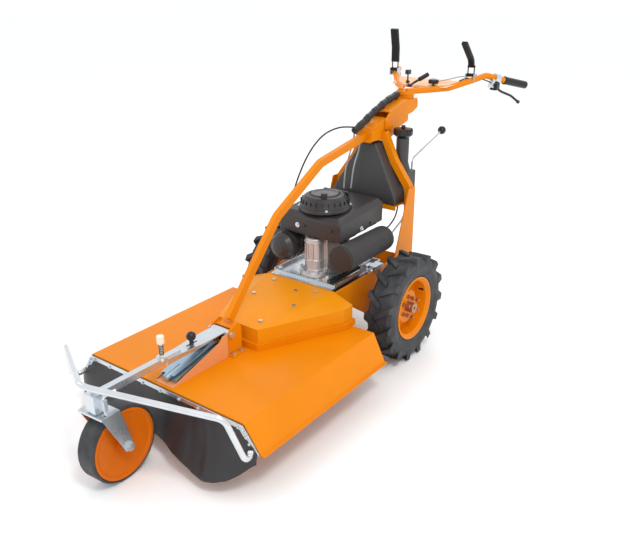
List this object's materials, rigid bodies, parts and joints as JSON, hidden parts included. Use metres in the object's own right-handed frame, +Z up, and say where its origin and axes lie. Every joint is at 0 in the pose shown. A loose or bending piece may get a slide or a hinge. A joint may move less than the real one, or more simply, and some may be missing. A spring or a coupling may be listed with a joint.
{
  "type": "brush mower",
  "caption": "Walk-behind brush mower: flared cutting deck with a front caster and rubber flap, engine over two lugged drive wheels, and a swivelling handlebar.",
  "frame": {"origin": "on the ground under the middle of the machine's length, on its middle plane", "axes": "+X to the operator's left, +Y to the rear (towards the handlebar), +Z up"},
  "size_m": [0.816, 2.1966, 1.1574],
  "materials": {
    "orange_paint": "satin powder coat",
    "zinc": "galvanised",
    "steel": "machined",
    "cast_aluminium": "cast",
    "cast_iron": "cast",
    "black_paint": "heat resistant",
    "cowl_plastic": "moulded",
    "tank_plastic": "moulded",
    "black_plastic": "moulded",
    "white_plastic": "moulded",
    "tyre_rubber": "tyre",
    "rubber_sheet": "sheet",
    "cable_black": "sleeve"
  },
  "bodies": {
    "machine": {"deck_shell": "orange_paint", "belt_tray": "orange_paint", "belt_cover": "orange_paint", "spindle_housing": "cast_iron", "wedge_bracket": "orange_paint", "spring_channel": "zinc", "front_strut": "orange_paint", "strut_foot": "orange_paint", "rear_frame": "orange_paint", "frame_head": "orange_paint", "chassis_frame": "orange_paint", "engine_frame": "zinc", "gearbox": "cast_iron", "crankcase": "cast_aluminium", "engine_cowl": "cowl_plastic", "starter_housing": "cowl_plastic", "muffler": "black_paint", "air_filter": "cowl_plastic", "fuel_tank": "tank_plastic", "front_hoop": "zinc", "flap_strips": "zinc", "rubber_flap": "rubber_sheet", "v_belts": "rubber_sheet", "belt_adjusters": "zinc", "engine_cables": "cable_black", "frame_screws": "zinc"},
    "left_wheel": {"rim_left": "orange_paint", "tyre_left": "tyre_rubber", "hub_left": "steel"},
    "right_wheel": {"rim_right": "orange_paint", "tyre_right": "tyre_rubber", "hub_right": "steel"},
    "arm": {"caster_arm": "zinc"},
    "fork": {"caster_fork": "zinc"},
    "caster": {"caster_wheel": "orange_paint", "caster_tyre": "tyre_rubber"},
    "swivel_lock": {"swivel_plunger": "zinc"},
    "height_lock": {"height_pin": "white_plastic"},
    "lift_release": {"release_lever": "black_plastic"},
    "cutter": {"spindle_shaft": "steel", "blade": "steel", "skid_dish": "steel"},
    "engine_shaft": {"crankshaft": "steel"},
    "gearbox_input": {"gearbox_pulley": "steel"},
    "blade_tensioner": {"blade_idler": "steel"},
    "drive_tensioner": {"drive_idler": "steel"},
    "riser": {"handlebar_riser": "orange_paint", "rear_sleeve": "cable_black"},
    "bars": {"handlebar": "orange_paint", "grips": "black_plastic", "lever_mounts": "zinc"},
    "drive_hand_lever": {"drive_lever": "black_plastic"},
    "blade_hand_lever": {"blade_lever": "black_plastic"},
    "brake_hand_lever": {"brake_lever": "black_plastic"},
    "throttle": {"throttle_lever": "black_plastic"},
    "bar_release": {"swivel_release": "black_plastic"},
    "star": {"star_knob": "black_plastic"},
    "gear_selector": {"gear_lever": "steel"},
    "recoil": {"starter_grip": "black_plastic"},
    "tank_cap": {"fuel_cap": "black_plastic"}
  },
  "joints": [
    {"name": "left_wheel_spin", "type": "hinge", "parent": "machine", "child": "left_wheel", "pos_m": [0, 0.15028, 0.207], "axis": [1, 0, 0], "continuous": true},
    {"name": "right_wheel_spin", "type": "hinge", "parent": "machine", "child": "right_wheel", "pos_m": [0, 0.15028, 0.207], "axis": [1, 0, 0], "continuous": true},
    {"name": "caster_arm_height", "type": "hinge", "parent": "machine", "child": "arm", "pos_m": [0, -0.53572, 0.292], "axis": [-1, 0, 0], "range_deg": [-3, 7]},
    {"name": "caster_swivel", "type": "hinge", "parent": "arm", "child": "fork", "pos_m": [0, -1.03372, 0.28], "axis": [0, 0, 1], "continuous": true},
    {"name": "caster_wheel_spin", "type": "hinge", "parent": "fork", "child": "caster", "pos_m": [-0.00342, -0.97782, 0.119], "axis": [0.9981, 0.061, 0], "continuous": true},
    {"name": "swivel_lock_slide", "type": "slide", "parent": "arm", "child": "swivel_lock", "axis": [0, 0, 1], "range_m": [0, 0.008]},
    {"name": "height_lock_slide", "type": "slide", "parent": "arm", "child": "height_lock", "axis": [0, 0, 1], "range_m": [0, 0.012], "stiffness_N_per_m": 400, "springref_m": -0.004},
    {"name": "lift_release_tilt", "type": "hinge", "parent": "arm", "child": "lift_release", "pos_m": [0, -0.66872, 0.288], "axis": [1, 0, 0], "range_deg": [-20, 20]},
    {"name": "blade_spin", "type": "hinge", "parent": "machine", "child": "cutter", "pos_m": [0, -0.36972, 0.15], "axis": [0, 0, 1], "continuous": true},
    {"name": "crank_spin", "type": "hinge", "parent": "machine", "child": "engine_shaft", "pos_m": [0, 0.04028, 0.4], "axis": [0, 0, 1], "continuous": true},
    {"name": "gearbox_input_spin", "type": "hinge", "parent": "machine", "child": "gearbox_input", "pos_m": [0, 0.21428, 0.26], "axis": [0, 0, 1], "continuous": true},
    {"name": "blade_tensioner_swing", "type": "hinge", "parent": "machine", "child": "blade_tensioner", "pos_m": [0.112, -0.14972, 0.284], "axis": [0, 0, 1], "range_deg": [0, 8]},
    {"name": "drive_tensioner_swing", "type": "hinge", "parent": "machine", "child": "drive_tensioner", "pos_m": [0.118, 0.16028, 0.312], "axis": [0, 0, -1], "range_deg": [0, 8]},
    {"name": "handlebar_height", "type": "hinge", "parent": "machine", "child": "riser", "pos_m": [0, 0.41828, 0.82], "axis": [1, 0, 0], "range_deg": [-12, 12]},
    {"name": "handlebar_swing", "type": "hinge", "parent": "riser", "child": "bars", "pos_m": [0, 0.60528, 0.918], "axis": [0, 0, 1], "range_deg": [-30, 30]},
    {"name": "drive_lever_press", "type": "hinge", "parent": "bars", "child": "drive_hand_lever", "pos_m": [0.178, 0.84028, 0.984], "axis": [-1, 0, 0], "range_deg": [0, 50], "stiffness_Nm_per_rad": 1.2, "springref_deg": -14.32},
    {"name": "blade_lever_press", "type": "hinge", "parent": "bars", "child": "blade_hand_lever", "pos_m": [-0.192, 0.84028, 0.984], "axis": [-1, 0, 0], "range_deg": [0, 50], "stiffness_Nm_per_rad": 1.2, "springref_deg": -14.32},
    {"name": "brake_lever_pull", "type": "hinge", "parent": "bars", "child": "brake_hand_lever", "pos_m": [0.246, 0.94028, 0.93], "axis": [0.885, -0.3989, 0.2399], "range_deg": [0, 14], "stiffness_Nm_per_rad": 0.6, "springref_deg": -11.46},
    {"name": "throttle_move", "type": "hinge", "parent": "bars", "child": "throttle", "pos_m": [-0.06, 0.72728, 0.95], "axis": [1, 0, 0], "range_deg": [-20, 20]},
    {"name": "bar_release_lift", "type": "hinge", "parent": "bars", "child": "bar_release", "pos_m": [0.01, 0.62028, 0.952], "axis": [1, 0, 0], "range_deg": [0, 15]},
    {"name": "star_knob_turn", "type": "hinge", "parent": "bars", "child": "star", "pos_m": [0.064, 0.72628, 0.9432], "axis": [0, 0, 1], "range_deg": [-90, 90]},
    {"name": "gear_shift", "type": "hinge", "parent": "machine", "child": "gear_selector", "pos_m": [0.062, 0.25228, 0.262], "axis": [0, 0, 1], "range_deg": [-4, 4]},
    {"name": "starter_pull", "type": "slide", "parent": "machine", "child": "recoil", "axis": [0, 0, 1], "range_m": [0, 0.6], "stiffness_N_per_m": 20, "springref_m": -0.1},
    {"name": "fuel_cap_turn", "type": "hinge", "parent": "machine", "child": "tank_cap", "pos_m": [0.096, 0.43328, 0.79], "axis": [0, 0, 1], "range_deg": [0, 90]}
  ],
  "couplings": [
    {"joint": "crank_spin", "follows": "blade_spin", "ratio": 1.3},
    {"joint": "gearbox_input_spin", "follows": "blade_spin", "ratio": 0.82},
    {"joint": "blade_tensioner_swing", "follows": "blade_lever_press", "ratio": 0.16},
    {"joint": "drive_tensioner_swing", "follows": "drive_lever_press", "ratio": 0.16}
  ]
}
